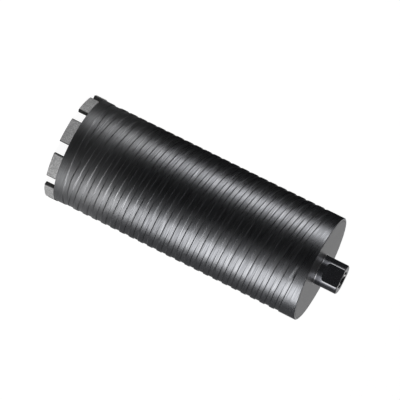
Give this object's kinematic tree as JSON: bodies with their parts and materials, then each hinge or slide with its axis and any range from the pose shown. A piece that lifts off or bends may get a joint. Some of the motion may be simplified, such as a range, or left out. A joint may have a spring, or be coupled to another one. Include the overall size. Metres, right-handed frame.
{
  "type": "diamond core bit",
  "caption": "Spiral-grooved steel tube with diamond segments on its open rim, a closing back plate and a threaded hub with wrench flats.",
  "frame": {"origin": "on the bit's axis, in the plane of the segments' cutting faces", "axes": "+Z along the axis from the cutting faces up to the threaded hub; the two wrench flats face -Y and +Y"},
  "size_m": [0.1019, 0.102, 0.2752],
  "materials": {
    "barrel_steel": "dark satin coating over fine turning marks",
    "plate_steel": "dark coating, smooth and faintly glossy",
    "hub_steel": "black oxide, glossy, bright at the edges",
    "segment_matrix": "matte sintered metal with fine grit"
  },
  "bodies": {
    "root": {"barrel": "barrel_steel", "back_plate": "plate_steel", "hub": "hub_steel", "segment_1": "segment_matrix", "segment_2": "segment_matrix", "segment_3": "segment_matrix", "segment_4": "segment_matrix", "segment_5": "segment_matrix", "segment_6": "segment_matrix", "segment_7": "segment_matrix", "segment_8": "segment_matrix", "segment_9": "segment_matrix"}
  },
  "joints": []
}
